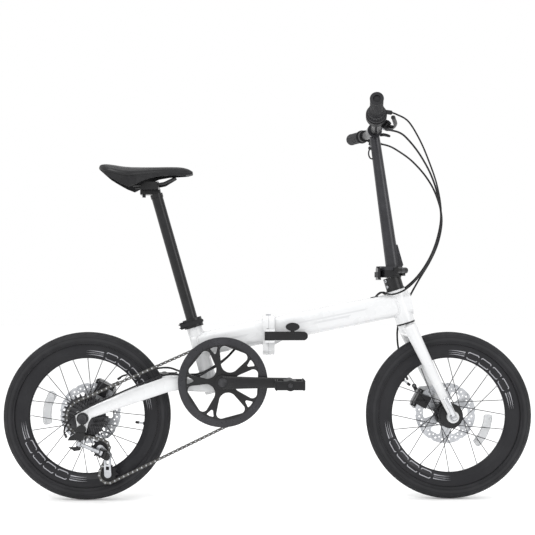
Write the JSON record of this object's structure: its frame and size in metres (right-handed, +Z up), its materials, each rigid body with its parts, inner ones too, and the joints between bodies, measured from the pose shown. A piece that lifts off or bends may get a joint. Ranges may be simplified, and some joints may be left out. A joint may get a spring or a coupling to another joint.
{
  "type": "folding bicycle",
  "caption": "Folding bicycle with small wheels, hinged main tube, folding handlepost, disc brakes, chain drive with rear derailleur and telescoping seatpost.",
  "frame": {"origin": "on the ground under the middle of the wheelbase, on the centre plane", "axes": "+X forward, +Y to the rider's left, +Z up"},
  "size_m": [1.371, 0.5652, 1.0018],
  "materials": {
    "white_paint": "gloss",
    "black_paint": "satin",
    "grey_paint": "satin",
    "steel": "satin",
    "dark_steel": "satin",
    "black_plastic": "matte",
    "grip_rubber": "matte",
    "tyre_rubber": "matte",
    "saddle_vinyl": "matte",
    "cable_housing": "gloss"
  },
  "bodies": {
    "rear_frame": {"seat_tube": "white_paint", "main_tube_rear": "white_paint", "chainstays": "white_paint", "hinge_pin": "steel", "seat_clamp": "black_paint", "bottom_bracket": "steel", "rear_axle": "dark_steel", "rear_caliper": "black_paint", "derailleur_mount": "black_paint", "rear_brake_cable": "cable_housing", "shift_cable": "cable_housing", "chain": "dark_steel"},
    "front_frame": {"main_tube_front": "white_paint", "head_tube": "white_paint", "headset": "black_paint"},
    "frame_latch": {"frame_latch": "black_paint"},
    "fork": {"fork": "white_paint", "stem_base": "black_paint", "front_axle": "steel", "front_caliper": "black_paint"},
    "handlepost": {"handlepost": "grey_paint", "handlebar": "black_paint", "grips": "grip_rubber", "control_mounts": "black_plastic", "front_brake_cable": "cable_housing"},
    "stem_latch": {"stem_latch": "black_paint"},
    "shifter": {"shifter": "grip_rubber"},
    "brake_lever_right": {"brake_lever_right": "black_paint"},
    "brake_lever_left": {"brake_lever_left": "black_paint"},
    "front_wheel": {"front_hub": "black_paint", "front_spokes": "steel", "front_rim": "black_paint", "front_tyre": "tyre_rubber", "front_disc": "steel"},
    "front_axle_lever": {"front_axle_lever": "grey_paint"},
    "front_caliper_arm": {"front_caliper_arm": "black_paint"},
    "rear_caliper_arm": {"rear_caliper_arm": "black_paint"},
    "rear_wheel": {"rear_hub": "black_paint", "rear_spokes": "steel", "rear_rim": "black_paint", "rear_tyre": "tyre_rubber", "rear_disc": "steel"},
    "freewheel": {"sprockets": "dark_steel"},
    "cranks": {"crank_right": "black_paint", "chainring": "grey_paint", "crank_left": "black_paint", "spindles": "steel"},
    "pedal_right": {"pedal_right": "black_plastic"},
    "pedal_left": {"pedal_left": "black_plastic"},
    "seat": {"seatpost": "black_paint", "saddle_clamp": "black_paint", "saddle_rails": "steel", "saddle_base": "black_plastic", "saddle_cover": "saddle_vinyl"},
    "seat_clamp_lever": {"seat_clamp_lever": "black_paint"},
    "derailleur_link": {"derailleur_link": "steel"},
    "derailleur_knuckle": {"derailleur_knuckle": "black_paint"},
    "derailleur_cage": {"derailleur_cage": "steel"},
    "guide_pulley": {"guide_pulley": "black_plastic"},
    "tension_pulley": {"tension_pulley": "black_plastic"}
  },
  "joints": [
    {"name": "frame_fold", "type": "hinge", "parent": "rear_frame", "child": "front_frame", "pos_m": [0, 0.034, 0.424], "axis": [0, 0, 1], "range_deg": [0, 150], "deforming": ["rear_brake_cable", "shift_cable", "front_brake_cable"]},
    {"name": "frame_latch_open", "type": "hinge", "parent": "front_frame", "child": "frame_latch", "pos_m": [-0.003, -0.042, 0.4225], "axis": [0, 0, -1], "range_deg": [0, 140]},
    {"name": "steering", "type": "hinge", "parent": "front_frame", "child": "fork", "pos_m": [0.3588, 0, 0.4563], "axis": [-0.2924, 0, 0.9563], "range_deg": [-60, 60], "deforming": ["rear_brake_cable", "shift_cable", "front_brake_cable"]},
    {"name": "handlepost_fold", "type": "hinge", "parent": "fork", "child": "handlepost", "pos_m": [0.34404, -0.02404, 0.592], "axis": [0.7071, 0.7071, 0], "range_deg": [0, 160], "deforming": ["rear_brake_cable", "shift_cable", "front_brake_cable"]},
    {"name": "stem_latch_open", "type": "hinge", "parent": "handlepost", "child": "stem_latch", "pos_m": [0.291, 0.02, 0.585], "axis": [0, 0, -1], "range_deg": [0, 130]},
    {"name": "front_wheel_spin", "type": "hinge", "parent": "fork", "child": "front_wheel", "pos_m": [0.4695, 0, 0.216], "axis": [0, 1, 0], "continuous": true},
    {"name": "front_axle_lever_open", "type": "hinge", "parent": "fork", "child": "front_axle_lever", "pos_m": [0.4695, -0.0755, 0.216], "axis": [0.9135, 0, 0.4067], "range_deg": [0, 150]},
    {"name": "rear_wheel_spin", "type": "hinge", "parent": "rear_frame", "child": "rear_wheel", "pos_m": [-0.4695, 0, 0.216], "axis": [0, 1, 0], "continuous": true},
    {"name": "crank_spin", "type": "hinge", "parent": "rear_frame", "child": "cranks", "pos_m": [-0.1175, 0, 0.305], "axis": [0, 1, 0], "continuous": true, "deforming": ["chain"]},
    {"name": "pedal_right_spin", "type": "hinge", "parent": "cranks", "child": "pedal_right", "pos_m": [0.0505, -0.124, 0.305], "axis": [0, 1, 0], "continuous": true},
    {"name": "pedal_left_spin", "type": "hinge", "parent": "cranks", "child": "pedal_left", "pos_m": [-0.2855, 0.124, 0.305], "axis": [0, 1, 0], "continuous": true},
    {"name": "freewheel_spin", "type": "hinge", "parent": "rear_frame", "child": "freewheel", "pos_m": [-0.4695, -0.05, 0.216], "axis": [0, 1, 0], "continuous": true},
    {"name": "seat_height", "type": "slide", "parent": "rear_frame", "child": "seat", "axis": [-0.2773, 0, 0.9608], "range_m": [-0.24, 0.02]},
    {"name": "seat_clamp_open", "type": "hinge", "parent": "rear_frame", "child": "seat_clamp_lever", "pos_m": [-0.22526, -0.017, 0.44687], "axis": [0.2773, 0, -0.9608], "range_deg": [0, 125]},
    {"name": "brake_right", "type": "hinge", "parent": "handlepost", "child": "brake_lever_right", "pos_m": [0.29212, -0.128, 0.95166], "axis": [-0.5708, 0, -0.8211], "range_deg": [0, 16], "stiffness_Nm_per_rad": 1.2, "springref_deg": -11.46},
    {"name": "brake_left", "type": "hinge", "parent": "handlepost", "child": "brake_lever_left", "pos_m": [0.29212, 0.128, 0.95166], "axis": [0.5708, 0, 0.8211], "range_deg": [0, 16], "stiffness_Nm_per_rad": 1.2, "springref_deg": -11.46},
    {"name": "rear_caliper_pull", "type": "hinge", "parent": "rear_frame", "child": "rear_caliper_arm", "pos_m": [-0.43881, 0.067, 0.27892], "axis": [0, 1, 0], "range_deg": [0, 26]},
    {"name": "front_caliper_pull", "type": "hinge", "parent": "fork", "child": "front_caliper_arm", "pos_m": [0.40828, 0.059, 0.24994], "axis": [0, 1, 0], "range_deg": [0, 26]},
    {"name": "shifter_twist", "type": "hinge", "parent": "handlepost", "child": "shifter", "pos_m": [0.26179, -0.175, 0.97409], "axis": [-0.1202, -0.9864, 0.1119], "range_deg": [-110, 22], "deforming": ["chain"]},
    {"name": "derailleur_swing", "type": "hinge", "parent": "rear_frame", "child": "derailleur_link", "pos_m": [-0.478, -0.077, 0.154], "axis": [0.4337, 0, 0.9011], "range_deg": [-24, 5]},
    {"name": "derailleur_level", "type": "hinge", "parent": "derailleur_link", "child": "derailleur_knuckle", "pos_m": [-0.424, -0.06, 0.128], "axis": [0.4337, 0, 0.9011], "range_deg": [-5, 24]},
    {"name": "cage_swing", "type": "hinge", "parent": "derailleur_knuckle", "child": "derailleur_cage", "pos_m": [-0.411, -0.05, 0.118], "axis": [0, 1, 0], "range_deg": [-25, 25], "stiffness_Nm_per_rad": 0.4, "springref_deg": 17.19, "deforming": ["chain"]},
    {"name": "guide_pulley_spin", "type": "hinge", "parent": "derailleur_cage", "child": "guide_pulley", "pos_m": [-0.428, -0.044, 0.137], "axis": [0, 1, 0], "continuous": true},
    {"name": "tension_pulley_spin", "type": "hinge", "parent": "derailleur_cage", "child": "tension_pulley", "pos_m": [-0.4085, -0.044, 0.0725], "axis": [0, 1, 0], "continuous": true}
  ],
  "couplings": [
    {"joint": "freewheel_spin", "follows": "crank_spin", "ratio": 2.3636},
    {"joint": "guide_pulley_spin", "follows": "crank_spin", "ratio": -4.7273},
    {"joint": "tension_pulley_spin", "follows": "crank_spin", "ratio": 4.7273},
    {"joint": "rear_caliper_pull", "follows": "brake_right", "ratio": 1.48},
    {"joint": "front_caliper_pull", "follows": "brake_left", "ratio": 1.48},
    {"joint": "derailleur_swing", "follows": "shifter_twist", "ratio": 0.21},
    {"joint": "derailleur_level", "follows": "shifter_twist", "ratio": -0.21}
  ]
}
